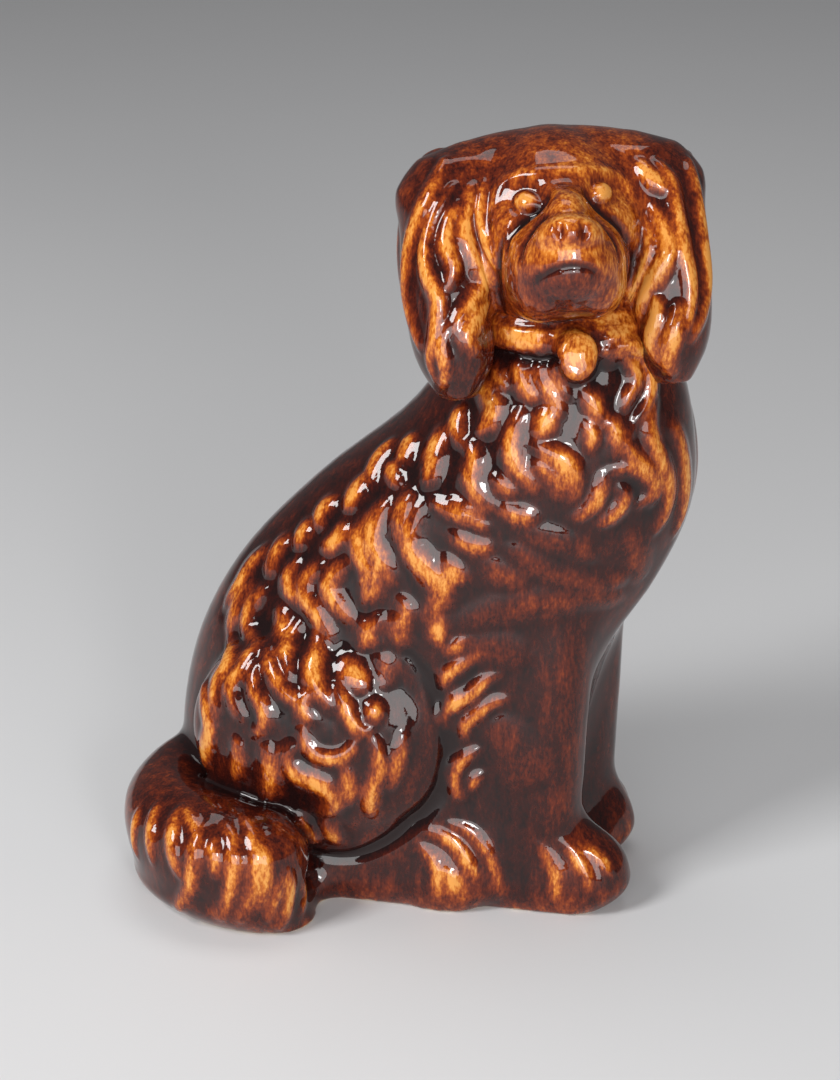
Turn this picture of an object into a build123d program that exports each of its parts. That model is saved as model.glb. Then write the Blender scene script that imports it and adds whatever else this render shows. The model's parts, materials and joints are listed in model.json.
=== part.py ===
"""Seated spaniel mantel figure in glazed earthenware, as the clay pieces that are luted into it.

The body looks along +X, the head is turned to look along -Y, and +Z is up.
The origin lies on the surface that the figure stands on, under the middle of the body.
"""

import os
from math import cos, radians, sin

from build123d import *

# Base slab
base_thickness = 10.0
base_edge_radius = 2.5
base_blend_radius = 7.0
base_margin = 0.5
vent_radius = 5.0
vent_offset = 30.0

# Body, from the base slab up to the top of the neck
torso_height = 195.0
rump_reach = 81.0
chest_reach = 87.0
torso_half_depth = 38.0
wall = 5.0

# Clay roll pressed along the inside of the body's seam
seam_roll_thickness = 3.0
seam_roll_width = 9.0

# Head, turned from the body's own direction and tipped up
head_yaw = 16.0
head_pitch = 13.0
head_roll = 3.0
head_rise = 13.5
head_shift = -4.0
head_forward = 6.0
skull_half_width = 28.5
skull_half_height = 35.0
skull_half_depth = 33.0
muzzle_half_width = 20.5
muzzle_half_height = 18.5
muzzle_half_length = 26.0
muzzle_drop = 7.0
muzzle_forward = 26.0
nose_half_width = 8.0
nose_half_height = 5.5
nose_half_length = 5.0
nose_rise = 4.0
nose_forward = 48.0
nostril_radius = 1.8
nostril_spread = 4.0
eye_radius = 4.6
eye_spread = 12.2
eye_rise = 13.0
eye_forward = 26.0
mouth_groove_radius = 1.3

# Ears
ear_length = 76.0
ear_half_width = 13.2
ear_half_depth = 17.0
ear_spread = 33.4

# Locks, strands and toe grooves
ear_lock_radius = 3.6
tail_strand_radius = 3.4
toe_groove_radius = 1.2

# Collar and locket
collar_height = 8.0
collar_drop = 6.0
collar_thickness = 3.0
locket_half_width = 6.2
locket_half_height = 7.8
locket_thickness = 7.0
locket_rim = 1.4
locket_recess = 1.0

# Forelegs
foreleg_reach = 47.5
foreleg_spread = 19.0
foreleg_stagger = 2.5
foreleg_height = 98.0
foreleg_radius = 13.5
forepaw_half_length = 17.0
forepaw_half_width = 14.0
forepaw_half_height = 15.0
forepaw_reach = 56.0
forepaw_stagger = -2.0
forepaw_rise = 3.0

# Haunches and hind paws
haunch_back = 26.0
haunch_rise = 46.0
haunch_half_length = 43.0
haunch_half_height = 38.0
haunch_half_depth = 20.0
haunch_bury = 10.0
hind_paw_half_length = 16.5
hind_paw_half_width = 14.0
hind_paw_half_height = 16.0
hind_paw_reach = 16.0
hind_paw_spread = 26.0
hind_paw_rise = 4.0

# Tail, on an arc round its own centre in plan
tail_centre_back = 46.0
tail_centre_side = 22.0
tail_arc_radius = 32.0
tail_radius = 18.5
tail_rise = 13.0
tail_foot_start = 150.0
tail_foot_turn = 130.0
tail_foot_share = 0.8

# The body's level sections, as (height, back, front, depth) shares of its sizes
torso_section_shares = [
    (0.000, 0.93, 0.50, 0.93),
    (0.125, 0.99, 0.55, 1.00),
    (0.250, 0.97, 0.61, 1.00),
    (0.390, 0.87, 0.73, 0.98),
    (0.505, 0.71, 0.88, 0.96),
    (0.645, 0.40, 1.00, 0.97),
    (0.780, 0.03, 0.99, 0.92),
    (0.885, -0.13, 0.93, 0.80),
    (1.000, -0.20, 0.84, 0.70),
]

# An ear's sections, as (height, spread, width, depth, forward) shares, from its root to its tip
ear_section_shares = [
    (0.40, 0.62, 0.95, 0.50, 0.00),
    (0.30, 0.76, 1.38, 0.82, 0.05),
    (0.07, 0.95, 1.11, 1.03, 0.15),
    (-0.21, 1.00, 1.00, 1.00, 0.35),
    (-0.47, 0.97, 0.82, 0.76, 0.55),
    (-0.59, 0.97, 0.42, 0.36, 0.60),
]

# The tail's sections, as (degrees round its arc, radius share, height share)
tail_section_shares = [
    (150, 0.62, 1.60),
    (185, 0.82, 1.22),
    (225, 0.97, 1.04),
    (256, 1.00, 1.00),
    (280, 0.90, 0.96),
]

# A foreleg's sections, as (height, radius, spread) shares, from the foot to the shoulder
foreleg_section_shares = [
    (0.00, 0.80, 1.00),
    (0.35, 0.92, 1.00),
    (0.66, 0.98, 0.96),
    (0.86, 1.00, 0.82),
    (1.00, 0.95, 0.62),
]

# A lock's route down an ear, as (height share, degrees of wave, reach share)
ear_lock_shares = [
    (0.33, 0, 0.70),
    (0.18, 9, 0.94),
    (-0.04, -9, 0.95),
    (-0.26, 9, 0.95),
    (-0.46, -5, 0.90),
    (-0.55, 0, 0.60),
]
ear_lock_turns = (66, 116, 166)

# A strand's route down the tail's outer side, as (degrees over the tail, degrees along it, reach share)
tail_strand_shares = [
    (108, -6, 0.70),
    (76, -1, 0.93),
    (36, 3, 0.95),
    (0, 2, 0.93),
    (-24, 0, 0.70),
]
tail_strand_turns = (198, 217, 236, 255, 274)

# The mouth's route over the muzzle, as (side share, drop share)
mouth_shares = [(-0.62, 0.42), (-0.36, 0.14), (0.00, 0.04), (0.36, 0.14), (0.62, 0.42)]

# Grooves between the toes, in degrees round the front of a paw, and the route of each over it
toe_turns = (-42, 0, 42)
toe_groove_angles = (64, 44, 24, 6)


def swelling(plane, half_x, half_y, half_z, mode=Mode.ADD):
    """Adds an ellipsoid at a plane's origin, with its half sizes along the plane's axes."""
    ball = Sphere(half_z, mode=Mode.PRIVATE)
    ball = scale(ball, by=(half_x / half_z, half_y / half_z, 1), mode=Mode.PRIVATE)
    with Locations(plane.location):
        add(ball, mode=mode)


def strand(points, radius, mode=Mode.ADD):
    """Adds a round strand along a smooth route, or cuts it as a groove."""
    with BuildLine() as route:
        Spline(*points)
    with BuildSketch(Plane(origin=route.line @ 0, z_dir=route.line % 0)) as section:
        Circle(radius)
    sweep(section.sketch, path=route.line, mode=mode)


def section_at(section_shares, place):
    """Gives a table's shares at a place, between the listed sections."""
    ordered = sorted(section_shares)
    for lower, upper in zip(ordered, ordered[1:]):
        if place <= upper[0]:
            blend_share = (place - lower[0]) / (upper[0] - lower[0])
            return [low + (high - low) * blend_share for low, high in zip(lower[1:], upper[1:])]
    return ordered[-1][1:]


def torso_loft(height_shares, growth):
    """Lofts the body's level sections at the given heights, grown outwards or drawn in."""
    sections = []
    for height_share in height_shares:
        back_share, front_share, depth_share = section_at(torso_section_shares, height_share)
        back = -rump_reach * back_share - growth
        front = chest_reach * front_share + growth
        level = base_thickness + torso_height * height_share
        with BuildSketch(Plane(((back + front) / 2, 0, level))) as section:
            Ellipse((front - back) / 2, torso_half_depth * depth_share + growth)
        sections.append(section.sketch)
    loft(sections)


# Body form and its hollow
torso_height_shares = [section[0] for section in torso_section_shares]
seam_plane = Plane.XZ

with BuildPart() as torso_form:
    torso_loft(torso_height_shares, 0)

with BuildPart() as torso_hollow:
    torso_loft(torso_height_shares, -wall)

with BuildPart() as roll_hollow:
    torso_loft(torso_height_shares, -wall - seam_roll_thickness)

# Places that the pieces share
neck_back_share, neck_front_share, neck_depth_share = torso_section_shares[-1][1:]
neck_x = (chest_reach * neck_front_share - rump_reach * neck_back_share) / 2
neck_top = base_thickness + torso_height
yaw = radians(head_yaw)
pitch = radians(head_pitch)
level_facing = Vector(sin(yaw), -cos(yaw), 0)
facing = level_facing * cos(pitch) + Vector(0, 0, sin(pitch))
across = Vector(cos(yaw), sin(yaw), 0)
head_centre = Vector(neck_x + head_shift, 0, neck_top + head_rise) + level_facing * head_forward
head_plane = Plane(origin=head_centre, x_dir=across, z_dir=facing).rotated((0, 0, head_roll))


def on_head(side, up, forward):
    """The head's plane, moved to the figure's left, up and forward."""
    return Plane(head_plane.from_local_coords((side, up, forward)), head_plane.x_dir, facing)


# Base slab, lobed round the paws and the tail, with a vent for the firing
tail_centre = Vector(-tail_centre_back, -tail_centre_side)
torso_foot_back = rump_reach * torso_section_shares[0][1]
torso_foot_front = chest_reach * torso_section_shares[0][2]

with BuildPart() as base_slab:
    with BuildSketch() as base_outline:
        with Locations(((torso_foot_front - torso_foot_back) / 2, 0)):
            SlotOverall(
                torso_foot_front + torso_foot_back + 2 * base_margin,
                2 * (torso_half_depth + base_margin),
            )
        for side in (-1, 1):
            forepaw_x = forepaw_reach + side * forepaw_stagger
            with Locations((forepaw_x / 2, side * foreleg_spread)):
                SlotOverall(
                    forepaw_x + 2 * (forepaw_half_length + base_margin),
                    2 * (forepaw_half_width + base_margin),
                )
            with Locations((hind_paw_reach, side * hind_paw_spread)):
                SlotOverall(
                    2 * (hind_paw_half_length + base_margin),
                    2 * (hind_paw_half_width + base_margin),
                )
        with BuildLine() as tail_foot:
            CenterArc(tail_centre, tail_arc_radius, tail_foot_start, tail_foot_turn)
        SlotArc(tail_foot.edges()[0], 2 * (tail_radius * tail_foot_share + base_margin))
        offset(amount=base_blend_radius)
        offset(amount=-base_blend_radius)
    extrude(amount=base_thickness)
    fillet(base_slab.faces().sort_by(Axis.Z)[-1].edges(), base_edge_radius)
    with Locations((-vent_offset, 0)):
        Hole(vent_radius)

# Body shells, either side of the seam
with BuildPart() as right_body_shell:
    add(torso_form.part)
    add(torso_hollow.part, mode=Mode.SUBTRACT)
    split(bisect_by=seam_plane, keep=Keep.TOP)

with BuildPart() as left_body_shell:
    add(torso_form.part)
    add(torso_hollow.part, mode=Mode.SUBTRACT)
    split(bisect_by=seam_plane, keep=Keep.BOTTOM)

with BuildPart() as seam_roll:
    add(torso_hollow.part)
    add(roll_hollow.part, mode=Mode.SUBTRACT)
    with Locations((0, 0, base_thickness + torso_height / 2)):
        Box(2 * (rump_reach + chest_reach), seam_roll_width, torso_height, mode=Mode.INTERSECT)

# Head form: skull, muzzle, nose and eyes, with the nostrils and the mouth cut in
with BuildPart() as head_form:
    swelling(head_plane, skull_half_width, skull_half_height, skull_half_depth)
    swelling(
        on_head(0, -muzzle_drop, muzzle_forward),
        muzzle_half_width,
        muzzle_half_height,
        muzzle_half_length,
    )
    swelling(on_head(0, nose_rise, nose_forward), nose_half_width, nose_half_height, nose_half_length)
    for side in (-1, 1):
        swelling(on_head(side * eye_spread, eye_rise, eye_forward), eye_radius, eye_radius, eye_radius)
        with Locations(on_head(side * nostril_spread, nose_rise, nose_forward + nose_half_length).origin):
            Sphere(nostril_radius, mode=Mode.SUBTRACT)
    mouth = []
    for side_share, drop_share in mouth_shares:
        reach_share = (1 - side_share**2 - drop_share**2) ** 0.5
        place = on_head(
            muzzle_half_width * side_share,
            -muzzle_drop - muzzle_half_height * drop_share,
            muzzle_forward + muzzle_half_length * reach_share,
        )
        mouth.append(place.origin)
    strand(mouth, mouth_groove_radius, mode=Mode.SUBTRACT)

with BuildPart() as head_hollow:
    swelling(head_plane, skull_half_width - wall, skull_half_height - wall, skull_half_depth - wall)

with BuildPart() as head_face:
    add(head_form.part)
    add(head_hollow.part, mode=Mode.SUBTRACT)
    add(torso_form.part, mode=Mode.SUBTRACT)
    split(bisect_by=head_plane, keep=Keep.TOP)

with BuildPart() as head_back:
    add(head_form.part)
    add(head_hollow.part, mode=Mode.SUBTRACT)
    add(torso_form.part, mode=Mode.SUBTRACT)
    split(bisect_by=head_plane, keep=Keep.BOTTOM)

# Collar round the neck
collar_top_share = 1 - collar_drop / torso_height
collar_bottom_share = collar_top_share - collar_height / torso_height

with BuildPart() as collar_band:
    torso_loft([collar_bottom_share, collar_top_share], collar_thickness)

with BuildPart() as collar:
    add(collar_band.part)
    add(torso_form.part, mode=Mode.SUBTRACT)
    add(head_form.part, mode=Mode.SUBTRACT)

# Locket that hangs on the collar
neck_depth = torso_half_depth * neck_depth_share
locket_level = neck_top - collar_drop - collar_height
locket_centre = Vector(neck_x, 0, locket_level) + level_facing * (neck_depth - locket_thickness / 2)
locket_plane = Plane(origin=locket_centre, x_dir=across, z_dir=level_facing)

with BuildPart() as locket:
    with BuildSketch(locket_plane):
        Ellipse(locket_half_width, locket_half_height)
    extrude(amount=2 * locket_thickness)
    with BuildSketch(Plane(locket.faces().sort_by(Axis(locket_centre, level_facing))[-1], x_dir=across)):
        Ellipse(locket_half_width - locket_rim, locket_half_height - locket_rim)
    extrude(amount=-locket_recess, mode=Mode.SUBTRACT)
    add(torso_form.part, mode=Mode.SUBTRACT)
    add(head_form.part, mode=Mode.SUBTRACT)
    add(collar.part, mode=Mode.SUBTRACT)


# Ears, hung from the top corners of the head over the collar
def ear_point(side, height_share, turn, reach_share):
    """A point on an ear at a height, at a turn from its inner side through its front."""
    spread_share, width_share, depth_share, forward_share = section_at(ear_section_shares, height_share)
    inward = -side * ear_half_width * width_share * reach_share * cos(radians(turn))
    forward = ear_half_depth * depth_share * reach_share * sin(radians(turn))
    place = on_head(
        side * ear_spread * spread_share + inward,
        ear_length * height_share,
        ear_half_depth * forward_share + forward,
    )
    return place.origin


def ear(side):
    """One ear with its wavy locks, with side -1 for the figure's right and 1 for its left."""
    with BuildPart() as made:
        for height_share, spread_share, width_share, depth_share, forward_share in ear_section_shares:
            centre = ear_point(side, height_share, 0, 0)
            with BuildSketch(Plane(centre, head_plane.x_dir, head_plane.y_dir)):
                Ellipse(ear_half_width * width_share, ear_half_depth * depth_share)
        loft()
        for turn in ear_lock_turns:
            route = [ear_point(side, height, turn + wave, reach) for height, wave, reach in ear_lock_shares]
            strand(route, ear_lock_radius)
        add(head_form.part, mode=Mode.SUBTRACT)
        add(torso_form.part, mode=Mode.SUBTRACT)
        add(collar_band.part, mode=Mode.SUBTRACT)
    return made


right_ear = ear(-1)
left_ear = ear(1)


# Haunches
def haunch(side):
    """One haunch, proud of the body's side."""
    centre = (-haunch_back, side * (torso_half_depth - haunch_bury), base_thickness + haunch_rise)
    with BuildPart() as made:
        swelling(Plane(centre), haunch_half_length, haunch_half_depth, haunch_half_height)
        add(torso_form.part, mode=Mode.SUBTRACT)
    return made


right_haunch = haunch(-1)
left_haunch = haunch(1)


# Paws and legs
def toes(centre, half_length, half_width, half_height):
    """Cuts the grooves between the toes over the front of a paw."""
    for turn in toe_turns:
        route = []
        for angle in toe_groove_angles:
            level_share = cos(radians(angle))
            forward = half_length * level_share * cos(radians(turn))
            aside = half_width * level_share * sin(radians(turn))
            route.append(centre + Vector(forward, aside, half_height * sin(radians(angle))))
        strand(route, toe_groove_radius, mode=Mode.SUBTRACT)


def foreleg(side):
    """One foreleg with its paw, standing on the base slab against the chest."""
    stagger = side * foreleg_stagger
    paw_x = forepaw_reach + side * forepaw_stagger
    paw_centre = Vector(paw_x, side * foreleg_spread, base_thickness + forepaw_rise)
    with BuildPart() as made:
        for height_share, radius_share, spread_share in foreleg_section_shares:
            level = base_thickness + foreleg_height * height_share
            with BuildSketch(Plane((foreleg_reach + stagger, side * foreleg_spread * spread_share, level))):
                Circle(foreleg_radius * radius_share)
        loft()
        swelling(Plane(paw_centre), forepaw_half_length, forepaw_half_width, forepaw_half_height)
        toes(paw_centre, forepaw_half_length, forepaw_half_width, forepaw_half_height)
        add(torso_form.part, mode=Mode.SUBTRACT)
        split(bisect_by=Plane.XY.offset(base_thickness), keep=Keep.TOP)
    return made


right_foreleg = foreleg(-1)
left_foreleg = foreleg(1)


def hind_paw(side):
    """One hind paw, on the base slab below its haunch."""
    paw_centre = Vector(hind_paw_reach, side * hind_paw_spread, base_thickness + hind_paw_rise)
    with BuildPart() as made:
        swelling(Plane(paw_centre), hind_paw_half_length, hind_paw_half_width, hind_paw_half_height)
        toes(paw_centre, hind_paw_half_length, hind_paw_half_width, hind_paw_half_height)
        add(torso_form.part, mode=Mode.SUBTRACT)
        add((right_haunch if side < 0 else left_haunch).part, mode=Mode.SUBTRACT)
        split(bisect_by=Plane.XY.offset(base_thickness), keep=Keep.TOP)
    return made


right_hind_paw = hind_paw(-1)
left_hind_paw = hind_paw(1)

# Tail, curled from the rump round to the figure's right
def tail_plane(turn):
    """The plane across the tail at a turn round its arc, facing along it."""
    arm = Vector(tail_arc_radius, 0).rotate(Axis.Z, turn)
    rise = base_thickness + tail_rise * section_at(tail_section_shares, turn)[1]
    return Plane(tail_centre + arm + Vector(0, 0, rise), arm, Vector(0, 0, 1).cross(arm))


def tail_point(turn, over, reach_share):
    """A point on the tail, at an angle from its outer side over the top."""
    reach = tail_radius * section_at(tail_section_shares, turn)[0] * reach_share
    return tail_plane(turn).from_local_coords((reach * cos(radians(over)), -reach * sin(radians(over)), 0))


with BuildPart() as tail:
    for turn, radius_share, _ in tail_section_shares:
        with BuildSketch(tail_plane(turn)):
            Circle(tail_radius * radius_share)
    loft()
    with Locations(tail_plane(turn).origin):
        Sphere(tail_radius * radius_share)
    for start in tail_strand_turns:
        route = [tail_point(start + along, over, reach) for over, along, reach in tail_strand_shares]
        strand(route, tail_strand_radius)
    add(torso_form.part, mode=Mode.SUBTRACT)
    add(right_haunch.part, mode=Mode.SUBTRACT)
    split(bisect_by=Plane.XY.offset(base_thickness), keep=Keep.TOP)

# Write each piece
pieces = {
    "base_slab": base_slab,
    "right_body_shell": right_body_shell,
    "left_body_shell": left_body_shell,
    "seam_roll": seam_roll,
    "head_face": head_face,
    "head_back": head_back,
    "right_ear": right_ear,
    "left_ear": left_ear,
    "collar": collar,
    "locket": locket,
    "right_foreleg": right_foreleg,
    "left_foreleg": left_foreleg,
    "right_haunch": right_haunch,
    "left_haunch": left_haunch,
    "right_hind_paw": right_hind_paw,
    "left_hind_paw": left_hind_paw,
    "tail": tail,
}
os.makedirs("parts", exist_ok=True)
for name, piece in pieces.items():
    piece.part.label = name
    export_step(piece.part, f"parts/{name}.step")
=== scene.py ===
"""Dresses the seated spaniel figure: locks, face and paws pressed in the clay, under a treacle glaze."""

import json
import math

import bpy
import numpy as np
from mathutils import Matrix, Vector
from mathutils.bvhtree import BVHTree

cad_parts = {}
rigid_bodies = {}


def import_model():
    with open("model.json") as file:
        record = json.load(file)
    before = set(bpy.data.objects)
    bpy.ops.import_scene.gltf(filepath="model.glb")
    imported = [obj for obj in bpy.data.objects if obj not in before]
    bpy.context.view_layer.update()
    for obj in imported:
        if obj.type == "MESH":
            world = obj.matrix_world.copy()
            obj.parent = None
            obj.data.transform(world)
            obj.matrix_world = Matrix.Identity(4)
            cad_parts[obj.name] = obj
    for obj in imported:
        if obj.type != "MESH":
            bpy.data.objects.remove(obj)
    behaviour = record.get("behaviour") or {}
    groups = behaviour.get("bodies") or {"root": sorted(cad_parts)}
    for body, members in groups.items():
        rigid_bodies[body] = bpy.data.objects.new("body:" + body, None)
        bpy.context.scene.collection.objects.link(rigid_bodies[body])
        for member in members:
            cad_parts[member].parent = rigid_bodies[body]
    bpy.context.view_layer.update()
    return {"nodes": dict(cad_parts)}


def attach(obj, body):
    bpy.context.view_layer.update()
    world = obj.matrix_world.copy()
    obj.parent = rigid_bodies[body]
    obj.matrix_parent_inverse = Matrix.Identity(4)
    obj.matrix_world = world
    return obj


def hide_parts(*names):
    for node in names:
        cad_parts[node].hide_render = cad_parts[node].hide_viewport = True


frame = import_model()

mm = 0.001

# Camera, in the photograph's own pixels
photo_centre = (420.0, 540.0)
photo_height = 1080.0
photo_focal = 2914.0
camera_turn = math.radians(12.0)
camera_tilt = math.radians(22.35)
camera_place = Vector((0.1798, -0.8461, 0.4700))
camera_right = Vector((math.cos(camera_turn), math.sin(camera_turn), 0))
camera_ahead = Vector((
    -math.sin(camera_turn) * math.cos(camera_tilt),
    math.cos(camera_turn) * math.cos(camera_tilt),
    -math.sin(camera_tilt),
))
camera_above = camera_right.cross(camera_ahead)

# Clay skin: how fine its mesh is, how thick the pieces are, and how many passes fill its creases
body_grain = 0.92 * mm
head_grain = 0.55 * mm
shell_thickness = 1.2 * mm
skin_smoothing = 14
body_fillet = 20
shoulder_fillet = 300
foot_fillet = 260
foot_hold = 0.4
head_fillet = 80

# Foot: its top, its rounded edge, and how far it is drawn in towards the floor
base_top = 10 * mm
base_rounding = 4.5 * mm
foot_middle = np.array((-10.0, -8.0)) * mm
foot_draw = 0.11
foot_draw_height = 11 * mm

# Body: level rings as (height, back, front, half depth) in millimetres above the base
body_rings = [
    (0, -75.3, 43.5, 35.3),
    (24.4, -80.2, 47.9, 38.0),
    (48.8, -78.6, 53.1, 38.0),
    (76.1, -70.5, 63.5, 37.2),
    (98.5, -57.5, 76.6, 36.5),
    (125.8, -32.4, 87.0, 36.9),
    (152.1, -2.4, 86.1, 35.0),
    (172.6, 10.5, 80.9, 30.4),
    (195.0, 16.2, 73.1, 26.6),
]
collar_levels = (181.0, 189.0)
collar_stand = 3.0
collar_middle = Vector((44.64, 0, 191.0)) * mm
locket_half = (6.2, 7.8)
locket_reach = 24.5
locket_drop = 2.5
locket_layers = (0, 7, 13.5)
locket_tilt = (0.94, 0.34)

# Head: its place, the way it looks, and its lumps as (side, up, forward) and half sizes in millimetres
head_centre = Vector((42.29, -5.77, 218.5)) * mm
head_facing = Vector((0.2686, -0.9366, 0.2250)).normalized()
head_across = Vector((0.9613, 0.2756, 0.0)).normalized()
head_roll = math.radians(3)
head_lumps = {
    "skull": ((0, 3, 0), (28.5, 32.0, 33.0)),
    "muzzle": ((0, -4.5, 26), (18.6, 16.0, 26.0)),
    "nose": ((0, 4.0, 46.0), (10.0, 5.6, 6.0)),
    "crown": ((0, 15.5, -1), (46.0, 19.0, 20.0)),
    "bridge": ((0, 9.5, 31), (8.0, 8.0, 14.0)),
    "chin": ((0, -11.5, 26), (9.0, 10.5, 20.0)),
    "right_flew": ((-7.4, -10.0, 25), (11.0, 12.5, 20.0)),
    "left_flew": ((7.4, -10.0, 25), (11.0, 12.5, 20.0)),
}

# Ears: rings as (up, share of the spread, half width, half depth, forward) in millimetres
ear_spread = 33.4
ear_rings = [
    (31.6, 0.60, 6.0, 4.0, 0.0),
    (30.0, 0.62, 12.0, 8.2, 0.0),
    (22.8, 0.76, 18.2, 13.9, 0.9),
    (5.3, 0.95, 14.6, 17.5, 2.6),
    (-16.0, 1.00, 13.2, 17.0, 6.0),
    (-35.7, 0.97, 10.8, 12.9, 9.4),
    (-44.8, 0.97, 5.5, 6.1, 10.2),
]

# Legs: foreleg rings as (height, radius, sideways), and lumps as a place on the left side and half sizes
foreleg_rings = [
    (0, 11.6, 19.0),
    (34.3, 13.0, 19.0),
    (64.7, 14.2, 18.2),
    (88.0, 15.0, 15.6),
    (112.0, 15.5, 9.0),
]
foreleg_ahead = 47.5
foreleg_stagger = 2.5
fore_paw_stagger = -2
fore_paw = ((56, 19, 13), (17, 14, 15))
leg_web = ((31, 20, 30), (14, 11, 32))
thigh = ((-26, 28, 56), (43, 20, 38))
hind_paw = ((16, 26, 14), (16.5, 14, 16))

# Tail: rings as (degrees round its curl, radius, height)
tail_rings = [
    (150, 11.5, 20.8),
    (185, 15.2, 15.9),
    (225, 17.9, 13.5),
    (256, 18.5, 13.0),
    (280, 16.7, 12.5),
]
tail_centre = Vector((-46, -22, 0)) * mm
tail_reach = 32 * mm

# Locks traced on the photograph: (width in pixels, lift in millimetres, route)
chest_locks = [
    (18, 1.5, [(474, 374), (487, 390), (494, 408), (489, 424), (476, 433)]),
    (13, 1.2, [(492, 364), (501, 379), (509, 392)]),
    (15, 1.4, [(524, 356), (520, 372), (527, 389), (541, 400)]),
    (13, 1.3, [(541, 357), (541, 376), (551, 394), (563, 416)]),
    (12, 1.1, [(553, 362), (558, 380), (569, 400)]),
    (15, 1.2, [(581, 386), (590, 397), (597, 412), (604, 424)]),
    (13, 1.7, [(606, 366), (605, 350), (618, 341), (634, 347), (645, 362), (650, 383), (646, 404),
               (634, 424)]),
    (12, 1.5, [(612, 364), (614, 353), (624, 356), (633, 368), (635, 382), (628, 397), (621, 411)]),
    (13, 1.4, [(634, 424), (626, 440), (634, 458), (650, 470), (657, 489), (648, 506)]),
    (15, 1.4, [(655, 392), (649, 420), (652, 443), (662, 464), (668, 488), (664, 512), (653, 534)]),
    (16, 1.0, [(672, 418), (681, 445), (685, 480), (682, 512), (673, 536)]),
    (13, 1.2, [(600, 428), (612, 424), (617, 442), (612, 460)]),
    (12, 1.0, [(584, 418), (592, 434), (590, 452)]),
    (15, 1.5, [(523, 408), (516, 428), (512, 449), (517, 467), (528, 480), (539, 492)]),
    (15, 1.3, [(554, 404), (546, 422), (537, 440)]),
    (16, 1.5, [(531, 442), (549, 453), (566, 464), (574, 482), (571, 503)]),
    (13, 1.3, [(528, 463), (546, 468), (557, 480), (557, 499)]),
    (12, 1.0, [(491, 474), (505, 487), (521, 494)]),
    (16, 1.5, [(466, 438), (474, 458), (472, 480), (481, 497), (495, 511)]),
    (12, 1.2, [(430, 499), (452, 512), (472, 519), (489, 530)]),
    (11, 1.0, [(446, 500), (466, 507), (487, 515)]),
    (14, 1.3, [(604, 472), (600, 490), (591, 506), (572, 521)]),
    (12, 1.3, [(606, 473), (621, 468), (640, 470), (652, 483), (648, 497), (634, 506)]),
    (13, 1.2, [(619, 484), (624, 499), (612, 515), (596, 527)]),
    (14, 1.1, [(443, 556), (456, 572), (470, 582)]),
    (14, 1.2, [(500, 506), (520, 516), (540, 518)]),
    (14, 1.0, [(450, 532), (470, 545), (494, 548)]),
]
chest_ripples = [
    (18, 1.0, [(520, 528), (546, 538), (572, 548), (596, 560)]),
    (20, 1.0, [(506, 548), (536, 562), (566, 578), (602, 584), (630, 574)]),
    (22, 1.1, [(455, 626), (482, 616), (512, 606), (546, 600), (586, 594), (620, 598)]),
    (18, 0.9, [(480, 560), (506, 576), (532, 588)]),
    (18, 0.8, [(624, 530), (638, 552), (640, 580)]),
    (24, 1.0, [(462, 652), (492, 648), (528, 656)]),
    (30, 1.1, [(488, 722), (506, 738), (516, 762), (514, 790)]),
]
flank_locks = [
    (18, 1.4, [(446, 424), (437, 448), (431, 474), (424, 486)]),
    (14, 1.3, [(462, 404), (457, 426), (462, 448)]),
    (16, 1.4, [(418, 434), (407, 449), (404, 468)]),
    (15, 1.4, [(398, 440), (383, 453), (373, 471), (371, 486)]),
    (13, 1.1, [(388, 462), (394, 474), (400, 488)]),
    (16, 1.4, [(368, 474), (357, 492), (346, 512)]),
    (15, 1.4, [(337, 497), (323, 512), (320, 530)]),
    (15, 1.3, [(348, 522), (338, 540), (322, 552)]),
    (15, 1.3, [(312, 518), (304, 534), (296, 550)]),
    (15, 1.4, [(290, 534), (276, 555), (268, 577)]),
    (16, 1.5, [(272, 545), (252, 566), (241, 585), (226, 606)]),
    (15, 1.3, [(256, 580), (244, 594), (236, 613), (230, 636)]),
    (14, 1.4, [(268, 586), (253, 603), (248, 624), (256, 644)]),
    (14, 1.2, [(300, 558), (290, 574), (291, 590), (302, 606)]),
    (14, 1.2, [(280, 604), (284, 624), (276, 642)]),
    (19, 1.7, [(389, 498), (377, 520), (373, 544), (384, 564), (395, 586)]),
    (16, 1.6, [(412, 490), (404, 514), (399, 546)]),
    (19, 1.7, [(422, 502), (412, 526), (412, 548), (426, 567), (438, 585), (436, 604), (422, 622)]),
    (15, 1.5, [(368, 516), (359, 536), (361, 556), (375, 577), (382, 600)]),
    (15, 1.4, [(399, 596), (407, 612), (399, 630), (406, 650)]),
    (15, 1.4, [(354, 560), (337, 572), (329, 589), (341, 608), (354, 624)]),
    (12, 1.3, [(359, 570), (370, 586), (366, 606)]),
    (16, 1.5, [(326, 562), (308, 577), (306, 595), (318, 613), (328, 634), (324, 652)]),
    (13, 1.1, [(302, 620), (290, 638), (292, 656)]),
    (14, 1.2, [(444, 612), (438, 628), (441, 648)]),
    (13, 1.1, [(384, 614), (374, 632), (384, 648)]),
    (13, 1.1, [(362, 618), (366, 636), (358, 650)]),
    (15, 1.1, [(456, 560), (446, 585), (452, 606)]),
]
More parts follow.
